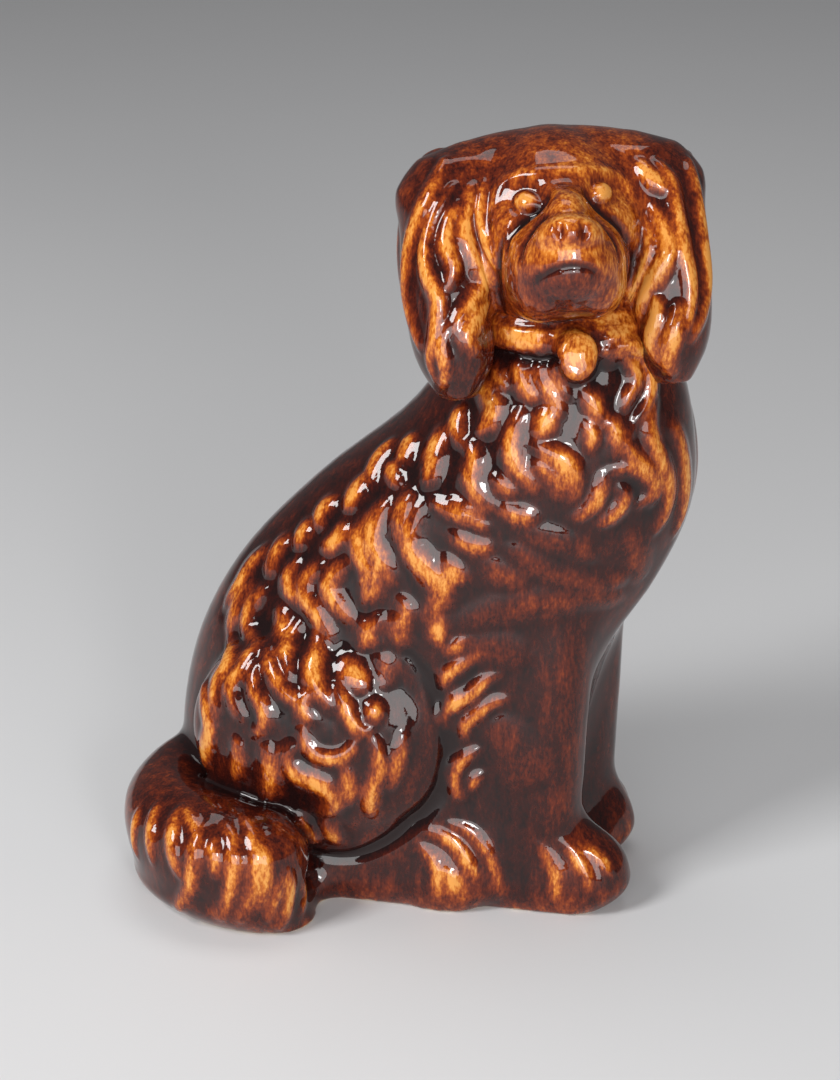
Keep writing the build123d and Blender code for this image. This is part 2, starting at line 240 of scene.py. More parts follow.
haunch_locks = [
    (15, 1.2, [(211, 655), (204, 680), (206, 705), (211, 728), (206, 750), (205, 769)]),
    (14, 1.2, [(232, 628), (231, 650), (226, 668), (217, 684), (215, 704), (215, 726)]),
    (14, 1.4, [(264, 640), (250, 655), (241, 671), (231, 686), (236, 706), (246, 722)]),
    (13, 1.4, [(259, 660), (253, 676), (256, 693), (264, 709), (265, 725), (252, 736)]),
    (13, 1.4, [(268, 644), (270, 662), (276, 679), (286, 693), (299, 704), (297, 718)]),
    (10, 1.2, [(293, 626), (285, 645), (288, 662), (292, 682)]),
    (15, 1.6, [(316, 624), (319, 645), (313, 666), (316, 686), (326, 700), (333, 713)]),
    (11, 1.3, [(318, 688), (305, 698), (304, 712), (316, 723)]),
    (17, 1.7, [(298, 743), (287, 756), (296, 772), (314, 780), (328, 790), (333, 803), (324, 816)]),
    (20, 1.4, [(262, 742), (270, 760), (272, 780), (266, 801)]),
    (11, 1.3, [(304, 722), (304, 740), (316, 755), (336, 758), (352, 749), (358, 735)]),
    (12, 1.4, [(333, 682), (343, 700), (350, 718), (361, 731), (375, 727)]),
    (13, 1.3, [(366, 703), (374, 711), (368, 722)]),
    (13, 1.5, [(372, 735), (377, 752), (380, 768), (374, 784), (370, 800), (372, 817)]),
    (12, 1.0, [(404, 732), (400, 750), (395, 770), (391, 790)]),
    (12, 1.2, [(298, 812), (305, 828), (320, 842)]),
    (12, 1.1, [(324, 818), (331, 832), (340, 844)]),
    (22, 1.1, [(344, 654), (354, 672), (366, 692)]),
    (16, 1.0, [(376, 652), (386, 668), (384, 690)]),
    (14, 1.0, [(345, 766), (349, 786), (346, 806)]),
    (13, 1.0, [(234, 736), (240, 758), (236, 780)]),
]
belly_locks = [
    (12, 1.4, [(504, 672), (488, 678), (470, 694), (452, 705), (444, 719), (452, 734)]),
    (11, 1.3, [(508, 698), (490, 703), (474, 716), (464, 726), (466, 740)]),
    (11, 1.3, [(482, 748), (464, 758), (453, 773), (455, 790), (467, 799)]),
    (9, 1.0, [(484, 772), (474, 780), (470, 792)]),
    (11, 1.2, [(484, 648), (468, 660), (450, 672), (438, 690)]),
    (10, 1.0, [(474, 634), (456, 646), (440, 656)]),
]
right_ear_locks = [
    (22, 1.5, [(446, 158), (426, 204), (411, 244), (407, 284), (412, 320), (421, 350)]),
    (17, 1.5, [(455, 184), (438, 206), (427, 240), (427, 271), (438, 300), (436, 332), (431, 360),
               (438, 384)]),
    (18, 1.4, [(462, 200), (449, 222), (446, 244), (453, 268), (446, 292)]),
    (20, 1.6, [(474, 184), (466, 214), (466, 240), (475, 263), (482, 284), (470, 305), (457, 324),
               (460, 346)]),
    (13, 1.3, [(484, 180), (480, 214), (488, 245), (497, 269)]),
    (24, 1.5, [(488, 298), (473, 318), (468, 340), (480, 353)]),
    (15, 1.3, [(449, 320), (442, 346), (446, 372), (441, 388)]),
]
left_ear_locks = [
    (20, 1.4, [(688, 158), (697, 200), (702, 240), (706, 280), (702, 312), (690, 342)]),
    (18, 1.5, [(656, 160), (671, 182), (677, 216), (683, 250), (690, 286), (688, 316), (680, 346)]),
    (20, 1.6, [(652, 204), (663, 226), (669, 250), (657, 275), (645, 296), (638, 316)]),
    (16, 1.4, [(647, 222), (650, 250), (640, 275), (630, 295), (628, 312)]),
    (21, 1.4, [(684, 300), (675, 330), (668, 354), (672, 376)]),
    (16, 1.3, [(655, 290), (657, 316), (651, 340), (660, 366)]),
    (18, 1.2, [(637, 160), (654, 180), (673, 192)]),
]
tail_locks = [
    (9, 0.9, [(141, 806), (135, 822), (134, 842), (138, 858)]),
    (10, 1.1, [(158, 802), (152, 820), (150, 842), (153, 864)]),
    (11, 1.2, [(184, 804), (174, 820), (172, 846), (177, 868), (186, 882)]),
    (9, 1.0, [(184, 806), (192, 822), (198, 842)]),
    (12, 1.3, [(206, 824), (196, 842), (192, 868), (188, 890), (178, 910)]),
    (9, 1.0, [(214, 836), (213, 856), (216, 880)]),
    (12, 1.3, [(226, 822), (233, 848), (234, 874), (229, 896), (220, 920)]),
    (12, 1.3, [(244, 814), (252, 836), (257, 858), (256, 882), (246, 906), (240, 922)]),
    (11, 1.1, [(264, 842), (266, 866), (264, 890), (256, 914)]),
    (9, 1.0, [(282, 872), (276, 896), (266, 922)]),
    (11, 1.2, [(288, 868), (290, 890), (285, 914), (276, 938)]),
    (9, 0.9, [(302, 878), (304, 898), (299, 918)]),
]
paw_locks = [
    (9, 0.9, [(446, 822), (470, 832), (487, 852), (497, 876), (500, 898)]),
    (9, 0.9, [(424, 830), (448, 838), (466, 858), (478, 882)]),
    (9, 0.8, [(418, 844), (432, 858), (438, 880), (440, 898)]),
    (8, 0.7, [(436, 866), (450, 876), (456, 894)]),
    (9, 0.8, [(536, 842), (550, 858), (556, 880), (554, 900)]),
    (9, 0.9, [(558, 840), (574, 852), (584, 872), (590, 892)]),
    (8, 0.8, [(580, 846), (600, 858), (612, 878)]),
]

# Face traced on the photograph: routes as above, and swells as (middle, half width, half height, lift)
brow_locks = [
    (12, 0.6, [(491, 217), (499, 186), (518, 174), (552, 170), (580, 169), (607, 171), (626, 183),
               (638, 206)]),
]
face_creases = [
    (15, -1.8, [(546, 190), (541, 202), (530, 214), (518, 226), (509, 241), (505, 258)]),
    (15, -1.8, [(584, 188), (593, 202), (607, 215), (621, 229), (629, 246)]),
    (9, -0.9, [(520, 262), (523, 247), (531, 234), (541, 222), (550, 214)]),
    (9, -0.9, [(594, 214), (607, 230), (617, 246), (620, 264)]),
    (8, -0.8, [(530, 285), (546, 274), (566, 267), (587, 268), (600, 275)]),
    (10, -1.0, [(505, 240), (500, 256), (499, 276), (500, 296), (504, 312)]),
    (10, -1.0, [(630, 244), (634, 258), (631, 276), (622, 294)]),
]
haunch_creases = [
    (30, -2.0, [(397, 640), (424, 672), (441, 708), (449, 745), (445, 780), (432, 804),
                (410, 824), (386, 843), (352, 856), (316, 853), (294, 838)]),
]
collar_creases = [
    (9, -1.3, [(490, 350), (510, 355), (535, 360), (560, 360)]),
    (9, -1.3, [(600, 346), (616, 342), (634, 334)]),
    (8, -1.0, [(498, 320), (520, 325), (558, 328)]),
    (8, -1.0, [(596, 312), (614, 308), (630, 304)]),
]
face_swells = [
    ((525, 198), 33, 24, -2.4),
    ((607, 191), 27, 23, -2.4),
    ((524, 200), 12.5, 11.5, 3.2, 0.6),
    ((605, 191), 11.0, 11.0, 3.2, 0.6),
    ((503, 228), 18, 28, 0.9),
    ((634, 222), 15, 26, 0.9),
    ((570, 246), 50, 40, 1.6),
    ((571, 229), 33, 18, 2.2),
    ((561, 233), 5.5, 7.5, -1.9),
    ((582, 233), 5.5, 7.5, -1.9),
    ((570, 284), 24, 9, 0.3),
]
# Face tones as (middle, half width, half height, amount), darker for a larger amount: darker over the
# nostrils, painted shade on the lower muzzle and chin, and a painted reflection as a lighter band under the
# nose
face_tones_and_painted_light = [
    ((572, 234), 20, 11, 0.34),
    # painted shade: the lower muzzle and the chin darkened
    ((560, 294), 64, 36, 0.30),
    # painted reflection: a lighter band under the nose
    ((568, 250), 36, 8, -0.12),
]
locket_swells = [
    ((580, 357), 34, 38, -1.2),
    ((580, 357), 21, 26, 2.4, 0.5),
    ((580, 357), 17, 21, -1.3),
    ((580, 355), 13, 16, 1.3),
]
paw_tones = [
    ((456, 864), 52, 50, -0.20),
    ((568, 868), 48, 44, -0.14),
]
collar_tones = [
    ((526, 338), 44, 18, -0.26),
    ((614, 323), 24, 18, -0.26),
    ((580, 357), 24, 28, -0.14),
]

# How wide and how high the locks lie on the clay, as shares of the traced ones
lock_spread = 1.15
lock_rise = 1.45
longest_jump = 7 * mm
snap_limit = 8 * mm

# Glaze: how thick it lies on flat clay, and how much it thins or pools
flat_thickness = 0.60
height_thinning = 0.56
ridge_height = 0.72
bulge_height = 0.42
bulge_size = 0.9 * mm
head_thinning = 0.06
crown_thinning = 0.18
mask_thinning = 0.10
crease_pooling = 0.34
treacle_shades = [
    (0.00, (0.64, 0.27, 0.055)),
    (0.13, (0.48, 0.135, 0.014)),
    (0.27, (0.25, 0.043, 0.006)),
    (0.42, (0.105, 0.014, 0.004)),
    (0.57, (0.036, 0.005, 0.003)),
    (0.75, (0.009, 0.003, 0.003)),
]

# Lamps: place in metres, width, height and power, all turned to the figure's middle
figure_middle = (0, 0, 0.12)
lamps = {
    "panel_lamp": ((0.35, -1.60, 0.44), 1.9, 0.76, 21),
    "window_lamp": ((-0.75, -0.95, 1.05), 0.48, 0.58, 15),
    "room_lamp": ((0.62, -1.35, 0.55), 0.20, 0.28, 5),
    "top_lamp": ((0.0, 0.2, 1.5), 0.9, 0.6, 4),
}
room_colour = (0.80, 0.80, 0.82, 1)
room_strength = 0.18

# Nodes that the dressed pieces stand for
head_nodes = ["head_face", "head_back", "right_ear", "left_ear"]
body_nodes = [
    "base_slab", "right_body_shell", "left_body_shell", "collar", "locket", "right_foreleg", "left_foreleg",
    "right_haunch", "left_haunch", "right_hind_paw", "left_hind_paw", "tail",
]


def sight(pixel):
    """The direction in which the camera sees a pixel of the photograph."""
    aside = (pixel[0] - photo_centre[0]) / photo_focal
    down = (pixel[1] - photo_centre[1]) / photo_focal
    return (camera_ahead + camera_right * aside - camera_above * down).normalized()


def eased(table, place):
    """A table's values at a place, on a smooth curve through its rows."""
    rows = np.array(sorted(table), float)
    keys = rows[:, 0]
    slopes = np.gradient(rows[:, 1:], keys, axis=0)
    at = int(np.clip(np.searchsorted(keys, place) - 1, 0, len(keys) - 2))
    span = keys[at + 1] - keys[at]
    t = (place - keys[at]) / span
    return (
        (2 * t**3 - 3 * t**2 + 1) * rows[at, 1:]
        + (t**3 - 2 * t**2 + t) * span * slopes[at]
        + (3 * t**2 - 2 * t**3) * rows[at + 1, 1:]
        + (t**3 - t**2) * span * slopes[at + 1]
    )


def places_along(table, count):
    keys = sorted(row[0] for row in table)
    return np.linspace(keys[0], keys[-1], count)


def ring(centre, half_a, half_b):
    """One ring of a lofted form, given by its middle and its two half axes."""
    bpy.ops.mesh.primitive_circle_add(vertices=56, radius=1)
    made = bpy.context.object
    across = half_a.cross(half_b).normalized() * mm
    turn = Matrix((half_a, half_b, across)).transposed().to_4x4()
    made.matrix_world = Matrix.Translation(centre) @ turn
    bpy.ops.object.transform_apply(location=True, rotation=True, scale=True)
    return made


def joined(parts):
    bpy.ops.object.select_all(action="DESELECT")
    for part in parts:
        part.select_set(True)
    bpy.context.view_layer.objects.active = parts[0]
    bpy.ops.object.join()
    return bpy.context.object


def lofted(rings):
    """A closed form bridged through rings."""
    made = joined([ring(*each) for each in rings])
    bpy.ops.object.mode_set(mode="EDIT")
    bpy.ops.mesh.select_mode(type="EDGE")
    bpy.ops.mesh.select_all(action="SELECT")
    bpy.ops.mesh.bridge_edge_loops()
    bpy.ops.mesh.select_all(action="DESELECT")
    bpy.ops.mesh.select_non_manifold()
    bpy.ops.mesh.edge_face_add()
    bpy.ops.mesh.select_all(action="SELECT")
    bpy.ops.mesh.normals_make_consistent(inside=False)
    bpy.ops.object.mode_set(mode="OBJECT")
    return made


def swelling(centre, half, turn=Matrix.Identity(3)):
    """A ball of clay, drawn out to its half sizes."""
    bpy.ops.mesh.primitive_uv_sphere_add(segments=56, ring_count=28, radius=1)
    ball = bpy.context.object
    ball.matrix_world = Matrix.Translation(centre) @ turn.to_4x4() @ Matrix.Diagonal((*half, 1))
    bpy.ops.object.transform_apply(location=True, rotation=True, scale=True)
    return ball


def body_ring(height, stand=0.0):
    back, front, depth = eased(body_rings, height)
    centre = Vector(((back + front) / 2, 0, height)) * mm + Vector((0, 0, base_top))
    return centre, Vector(((front - back) / 2 + stand, 0, 0)) * mm, Vector((0, depth + stand, 0)) * mm


def body_form():
    return lofted([body_ring(height) for height in places_along(body_rings, 34)])


def collar_form():
    return lofted([body_ring(height, collar_stand) for height in collar_levels])


up_from_face = head_facing.cross(head_across)
head_x = head_across * math.cos(head_roll) + up_from_face * math.sin(head_roll)
head_y = head_facing.cross(head_x)
head_turn = Matrix((head_x, head_y, head_facing)).transposed()


def on_head(side, up, forward):
    """A place on the head, from its middle, in millimetres."""
    return head_centre + (head_x * side + head_y * up + head_facing * forward) * mm


def head_forms():
    return [swelling(on_head(*place), Vector(half) * mm, head_turn) for place, half in head_lumps.values()]


def ear_form(side):
    rings = []
    for up in places_along(ear_rings, 18):
        spread, width, depth, forward = eased(ear_rings, up)
        middle = on_head(side * ear_spread * spread, up, forward)
        rings.append((middle, head_x * width * mm, head_facing * depth * mm))
    return lofted(rings)


def lump_beside(lump, side, stagger=0):
    """A lump of a leg, on the left side (1) or the right one (-1)."""
    (ahead, aside, height), half = lump
    return swelling(Vector((ahead + side * stagger, side * aside, height)) * mm, Vector(half) * mm)


def foreleg_forms(side):
    rings = []
    for height in places_along(foreleg_rings, 12):
        radius, spread = eased(foreleg_rings, height)
        ahead = foreleg_ahead + side * foreleg_stagger
        centre = Vector((ahead, side * spread, height)) * mm + Vector((0, 0, base_top))
        rings.append((centre, Vector((radius, 0, 0)) * mm, Vector((0, radius, 0)) * mm))
    paw = lump_beside(fore_paw, side, fore_paw_stagger)
    web = lump_beside(leg_web, side)
    return [lofted(rings), paw, web]


def haunch_forms(side):
    return [lump_beside(thigh, side), lump_beside(hind_paw, side)]


def tail_forms():
    rings = []
    for turn in places_along(tail_rings, 20):
        radius, height = eased(tail_rings, turn)
        arm = Vector((math.cos(math.radians(turn)), math.sin(math.radians(turn)), 0))
        centre = tail_centre + arm * tail_reach + Vector((0, 0, base_top + height * mm))
        rings.append((centre, arm * radius * mm, Vector((0, 0, radius)) * mm))
    tip = swelling(centre, Vector((radius, radius, radius)) * mm)
    return [lofted(rings), tip]


def locket_form():
    level_facing = Vector((head_facing.x, head_facing.y, 0)).normalized()
    level, rising = locket_tilt
    half_width, half_height = locket_half
    outward = level_facing * level + Vector((0, 0, rising))
    across = head_across * half_width * mm
    upright = outward.cross(head_across) * half_height * mm
    centre = collar_middle + level_facing * locket_reach * mm - Vector((0, 0, locket_drop)) * mm
    return lofted([(centre + outward * layer * mm, across, upright) for layer in locket_layers])


def base_form():
    """A copy of the flat foot, with its loose triangles merged."""
    foot = frame["nodes"]["base_slab"].copy()
    foot.data = foot.data.copy()
    foot.parent = None
    bpy.context.collection.objects.link(foot)
    joined([foot])
    bpy.ops.object.mode_set(mode="EDIT")
    bpy.ops.mesh.select_all(action="SELECT")
    bpy.ops.mesh.remove_doubles(threshold=0.001 * mm)
    bpy.ops.object.mode_set(mode="OBJECT")
    foot.data.materials.clear()
    sharp = math.radians(50)
    applied(foot, "BEVEL", width=base_rounding, segments=5, limit_method="ANGLE", angle_limit=sharp)
    return foot


def applied(piece, kind, **settings):
    """Adds a modifier to a piece and applies it."""
    bpy.ops.object.select_all(action="DESELECT")
    piece.select_set(True)
    bpy.context.view_layer.objects.active = piece
    bpy.ops.object.modifier_add(type=kind)
    modifier = piece.modifiers[-1]
    for setting, value in settings.items():
        setattr(modifier, setting, value)
    bpy.ops.object.modifier_apply(modifier=modifier.name)


def luted_skin(name, forms, grain):
    """Clay forms joined into one skin."""
    skin = joined(forms)
    skin.name = name
    skin.data.materials.clear()
    applied(skin, "REMESH", mode="VOXEL", voxel_size=grain)
    applied(skin, "SMOOTH", factor=0.5, iterations=skin_smoothing)
    return skin


def body_skin():
    forms = [body_form(), collar_form(), locket_form(), base_form()] + tail_forms()
    for side in (-1, 1):
        forms += foreleg_forms(side) + haunch_forms(side)
    return luted_skin("body_skin", forms, body_grain)


def head_skin():
    return luted_skin("head_skin", head_forms() + [ear_form(-1), ear_form(1)], head_grain)


class ClaySkin:
    """The skin's points, and how far each is lifted or pressed in."""

    def __init__(self, skin):
        self.skin = skin
        self.mesh = skin.data
        count = len(self.mesh.vertices)
        self.places = np.empty(count * 3)
        self.mesh.vertices.foreach_get("co", self.places)
        self.places = self.places.reshape(-1, 3)
        edges = np.empty(len(self.mesh.edges) * 2, int)
        self.mesh.edges.foreach_get("vertices", edges)
        self.edges = edges.reshape(-1, 2)
        self.links = np.bincount(edges, minlength=count).astype(float)
        self.normals = self.facing()
        self.lift = np.zeros(count)
        self.ridge = np.zeros(count)
        self.cut = np.zeros(count)
        self.tone = np.zeros(count)
        self.dark = np.zeros(count)

    def facing(self):
        normals = np.empty(len(self.mesh.vertices) * 3)
        self.mesh.vertices.foreach_get("normal", normals)
        return normals.reshape(-1, 3)

    def averaged(self, values, passes, share=1.0):
        """Values, or places, evened out between neighbours."""
        values = values.reshape(len(self.links), -1).copy()
        a, b = self.edges.T
        for _ in range(passes):
            total = np.empty_like(values)
            for k in range(values.shape[1]):
                total[:, k] = np.bincount(a, values[b, k], len(values))
                total[:, k] += np.bincount(b, values[a, k], len(values))
            values += share * (total / self.links[:, None] - values)
        return values

    def filleted(self, passes, where, hold=0.12):
        """Fills the creases with soft fillets and mostly leaves the swells as they are."""
        inside = where > 0
        ends = self.edges[inside[self.edges].any(axis=1)]
        picks = np.unique(ends)
        a, b = np.searchsorted(picks, ends.T)
        links = np.maximum(np.bincount(np.concatenate([a, b]), minlength=len(picks)), 1)
        share = where[picks]
        for _ in range(passes // 10):
            spots = self.places[picks]
            normals = self.normals[picks]
            for _ in range(10):
                total = np.empty_like(spots)
                for k in range(3):
                    total[:, k] = np.bincount(a, spots[b, k], len(picks))
                    total[:, k] += np.bincount(b, spots[a, k], len(picks))
                moves = total / links[:, None] - spots
                rise = np.einsum("ij,ij->i", moves, normals)
                spots += moves * (share * np.where(rise > 0, 1.0, hold))[:, None]
            self.places[picks] = spots
            self.settle()

    def settle(self):
        """Writes the places back to the mesh."""
        self.places[:, 2] = np.maximum(self.places[:, 2], 0)
        self.mesh.vertices.foreach_set("co", self.places.ravel())
        self.mesh.update()
        self.normals = self.facing()

    def tucked(self):
        """Draws the foot in towards the floor."""
        drawn = 1 - foot_draw * np.clip(1 - self.places[:, 2] / foot_draw_height, 0, 1) ** 2
        self.places[:, :2] = foot_middle + (self.places[:, :2] - foot_middle) * drawn[:, None]
        self.settle()

    def ready(self):
        """Makes the skin ready to be traced on."""
        self.tree = BVHTree.FromObject(self.skin, bpy.context.evaluated_depsgraph_get())

    def seen_at(self, pixel):
        """Where the camera's line through a pixel meets the skin, and how far off."""
        place, _, _, reach = self.tree.ray_cast(camera_place, sight(pixel))
        return place, reach

    def route(self, pixels):
        """A smooth route on the skin below a line of pixels, broken where it would jump."""
        points = np.array(pixels, float)
        steps = np.arange(len(points), dtype=float)
        table = [(step, *point) for step, point in zip(steps, points)]
        runs = [[]]
        for step in np.linspace(0, steps[-1], 6 * (len(points) - 1) + 1):
            place, _ = self.seen_at(eased(table, step))
            if place is None:
                continue
            if runs[-1] and (place - runs[-1][-1]).length > longest_jump:
                runs.append([])
            runs[-1].append(place)
        best = max(runs, key=len)
        return best if len(best) > 2 else None

    def snapped(self, places):
        """A route's places moved to the nearest skin."""
        found = [self.tree.find_nearest(place, snap_limit)[0] for place in places]
        found = [place for place in found if place is not None]
        return found if len(found) > 2 else None

    def lay(self, route, half_width, height, tone):
        """Lays one rounded amber lock on the skin, or cuts one rounded dark crease."""
        points = np.array(route)
        lengths = np.concatenate([[0], np.cumsum(np.linalg.norm(np.diff(points, axis=0), axis=1))])
        low, high = points.min(0) - half_width, points.max(0) + half_width
        near = np.flatnonzero(np.all((self.places > low) & (self.places < high), axis=1))
        spots = self.places[near]
        nearest = np.full(len(near), np.inf)
        along = np.zeros(len(near))
        for start, end, run in zip(points, points[1:], lengths):
            step = end - start
            size = step @ step
            if size == 0:
                continue
            t = np.clip((spots - start) @ step / size, 0, 1)
            gap = np.linalg.norm(spots - start - t[:, None] * step, axis=1)
            closer = gap < nearest
            nearest[closer] = gap[closer]
            along[closer] = run + t[closer] * size**0.5
        taper = np.sin(np.pi * np.clip(along / lengths[-1], 0, 1)) ** 0.5
        width = half_width * (0.35 + 0.65 * taper)
        bell = np.clip(1 - (nearest / width) ** 2, 0, 1) ** 1.6 * (0.25 + 0.75 * taper)
        if height > 0:
            self.lift[near] = np.maximum(self.lift[near], height * mm * bell)
            self.ridge[near] = np.maximum(self.ridge[near], tone * bell)
        else:
            self.cut[near] = np.minimum(self.cut[near], height * mm * bell)
            self.dark[near] = np.maximum(self.dark[near], tone * bell)

    def dome_at(self, pixel, half_width, half_height):
        """1 at a pixel's place, falling to 0 at an oval round it."""
        middle, reach = self.seen_at(pixel)
        scale = reach / photo_focal
        offsets = self.places - np.array(middle)
        aside = offsets @ np.array(camera_right) / (half_width * scale)
        above = offsets @ np.array(camera_above) / (half_height * scale)
        depth = np.abs(offsets @ np.array(camera_ahead)) < 2.2 * max(half_width, half_height) * scale
        return np.clip(1 - aside**2 - above**2, 0, 1) * depth

    def swell(self, pixel, half_width, half_height, height, softness=1.5):
        """Raises or hollows one rounded place."""
        dome = self.dome_at(pixel, half_width, half_height)
        self.cut += height * mm * dome**softness
        if height > 0 and softness < 1:
            self.ridge = np.maximum(self.ridge, 0.75 * dome)

    def tint(self, pixel, half_width, half_height, amount):
        """Makes one rounded place darker, or lighter for a negative amount; on the face this paints shade
        and a reflection.
        """
        self.tone += amount * self.dome_at(pixel, half_width, half_height)

    def traced(self, locks, also=None, spread=lock_spread, rise=lock_rise, tone=1.0):
        """Lays the locks or cuts the creases traced on the photograph, and their likes on a hidden side."""
        for width, height, pixels in locks:
            route = self.route(pixels)
            if route is None:
                continue
            half_width = width * spread * (route[0] - camera_place).length / photo_focal
            self.lay(route, half_width, height * rise, tone)
            hidden = self.snapped(also(route)) if also else None
            if hidden:
                self.lay(hidden, half_width, height * rise, tone)

    def pressed(self, passes):
        """Moves the skin by its lifts and cuts, and softens it as the glaze does."""
        moved = self.places + self.normals * (self.lift + self.cut)[:, None]
        self.places = self.averaged(moved, passes, 0.45)
        self.settle()

    def pooled(self):
        """How thick the glaze lies: 0 on the ridges, where it is thin, to 1 in the creases, with the tints
        added, which on the face paint shade and a reflection.
        """
        bulge = self.places - self.averaged(self.places, 30)
        bulge = np.einsum("ij,ij->i", bulge, self.normals) / bulge_size
        height = ridge_height * self.ridge**1.8 + bulge_height * np.clip(bulge, -1, 1)
        front = self.places - np.array(head_centre)
        aside = np.abs(front @ np.array(head_x)) / mm
        above = front @ np.array(head_y) / mm
        forward = front @ np.array(head_facing) / mm
        on_head = np.clip((self.places[:, 2] / mm - 190) / 12, 0, 1)
        crown = np.clip((31 - aside) / 6, 0, 1)
        mask = np.clip((forward - 8) / 10, 0, 1) * np.clip((25 - aside) / 4, 0, 1)
        mask *= np.clip((19 - above) / 4, 0, 1)
        thinning = (head_thinning + crown_thinning * crown + mask_thinning * mask) * on_head
        thickness = flat_thickness - height_thinning * height - thinning
        # the tints add painted shade on the lower muzzle and a painted reflection under the nose on the
        # face
        thickness += self.tone + crease_pooling * self.dark
        return np.clip(self.averaged(thickness, 4), 0, 1).ravel()


def foot_share(places):
    """1 low on the foot, 0 at the floor and above the paws."""
    heights = places[:, 2]
    return np.clip((32 - heights) / 10, 0, 1) * np.clip(heights / 3 - 0.2, 0, 1)


def shoulder_share(places):
    """1 where the forelegs run into the chest, 0 away from there."""
    x, y, z = places.T
    ahead = np.clip((x - 5) / 10, 0, 1) * np.clip((75 - x) / 10, 0, 1)
    return ahead * np.clip((z - 10) / 8, 0, 1) * np.clip((140 - z) / 14, 0, 1)


def far_side(route):
    """A route mirrored to the figure's other side."""
    return [Vector((place.x, -place.y, place.z)) for place in route]


def behind_ear(side):
    """Gives the back of an ear for a route on its front."""
    middle = on_head(side * ear_spread, 0, 4)

    def turned(route):
        return [place - head_facing * 2 * (place - middle).dot(head_facing) for place in route]

    return turned


def node_of_faces(mesh, nodes):
    """The nearest CAD node to each face of the skin, with ragged edges evened out."""
    corners, triangles, owners = [], [], []
    for index, name in enumerate(nodes):
        source = frame["nodes"][name].data
        source.calc_loop_triangles()
        spots = np.empty(len(source.vertices) * 3)
        source.vertices.foreach_get("co", spots)
        picks = np.empty(len(source.loop_triangles) * 3, int)
        source.loop_triangles.foreach_get("vertices", picks)
        triangles.extend((picks.reshape(-1, 3) + len(corners)).tolist())
        corners.extend(spots.reshape(-1, 3).tolist())
        owners.extend([index] * (len(picks) // 3))
    tree = BVHTree.FromPolygons(corners, triangles)
    count = len(mesh.polygons)
    middles = np.empty(count * 3)
    mesh.polygons.foreach_get("center", middles)
    labels = np.array([owners[tree.find_nearest(middle)[2]] for middle in middles.reshape(-1, 3)])
    edge_of = np.empty(len(mesh.loops), int)
    mesh.loops.foreach_get("edge_index", edge_of)
    sizes = np.empty(count, int)
    mesh.polygons.foreach_get("loop_total", sizes)
    face_of = np.repeat(np.arange(count), sizes)
    order = np.argsort(edge_of, kind="stable")
    same = edge_of[order][:-1] == edge_of[order][1:]
    one, other = face_of[order][:-1][same], face_of[order][1:][same]
    for _ in range(10):
        votes = np.zeros((count, len(nodes)))
        votes[np.arange(count), labels] = 1.5
        np.add.at(votes, (one, labels[other]), 1)
        np.add.at(votes, (other, labels[one]), 1)
        labels = votes.argmax(1)
    return labels


class Wire:
    """A socket of a finish. Arithmetic on it adds Math nodes."""

    def __init__(self, finish, socket):
        self.finish = finish
        self.socket = socket

    def maths(self, operation, first, second):
        return self.finish.node("ShaderNodeMath", {"operation": operation}, {0: first, 1: second})

    def __add__(self, other):
        return self.maths("ADD", self, other)

    def __radd__(self, other):
        return self.maths("ADD", other, self)

    def __sub__(self, other):
        return self.maths("SUBTRACT", self, other)

    def __rsub__(self, other):
        return self.maths("SUBTRACT", other, self)

    def __mul__(self, other):
        return self.maths("MULTIPLY", self, other)

    def __rmul__(self, other):
        return self.maths("MULTIPLY", other, self)


class Finish:
    """A material made of nodes."""

    def __init__(self, name):
        self.material = bpy.data.materials.new(name)
        self.material.use_nodes = True
        self.tree = self.material.node_tree
        self.surface = self.tree.nodes["Principled BSDF"]

    def node(self, kind, settings=(), sockets=(), outlet=0):
        """Adds a node: its settings are set first, then its sockets are set or linked."""
        made = self.tree.nodes.new(kind)
        for setting, value in dict(settings).items():
            if setting == "stops":
                ramp = made.color_ramp
                while len(ramp.elements) < len(value):
                    ramp.elements.new(1.0)
                for element, (place, colour) in zip(ramp.elements, value):
                    element.position = place
                    element.color = (*colour, 1)
            else:
                setattr(made, setting, value)
        for socket, value in dict(sockets).items():
            self.plug(made.inputs[socket], value)
        return Wire(self, made.outputs[outlet])

    def plug(self, socket, value):
        if isinstance(value, Wire):
            self.tree.links.new(value.socket, socket)
        else:
            socket.default_value = value

    def noise(self, where, stretch, scale, detail=4.0, roughness=0.55):
        moved = self.node("ShaderNodeMapping", {}, {"Vector": where, "Scale": stretch})
        sockets = {"Vector": moved, "Scale": scale, "Detail": detail, "Roughness": roughness}
        return self.node("ShaderNodeTexNoise", {}, sockets)

    def fade(self, value, start, end):
        settings = {"interpolation_type": "SMOOTHSTEP"}
        return self.node("ShaderNodeMapRange", settings, {0: value, 1: start, 2: end, 3: 0.0, 4: 1.0})

    def mixed(self, share, first, second):
        return self.node("ShaderNodeMix", {"data_type": "RGBA"}, {0: share, 6: first, 7: second}, outlet=2)

    def dress(self, **sockets):
        for socket, value in sockets.items():
            self.plug(self.surface.inputs[socket.replace("_", " ")], value)
        return self.material


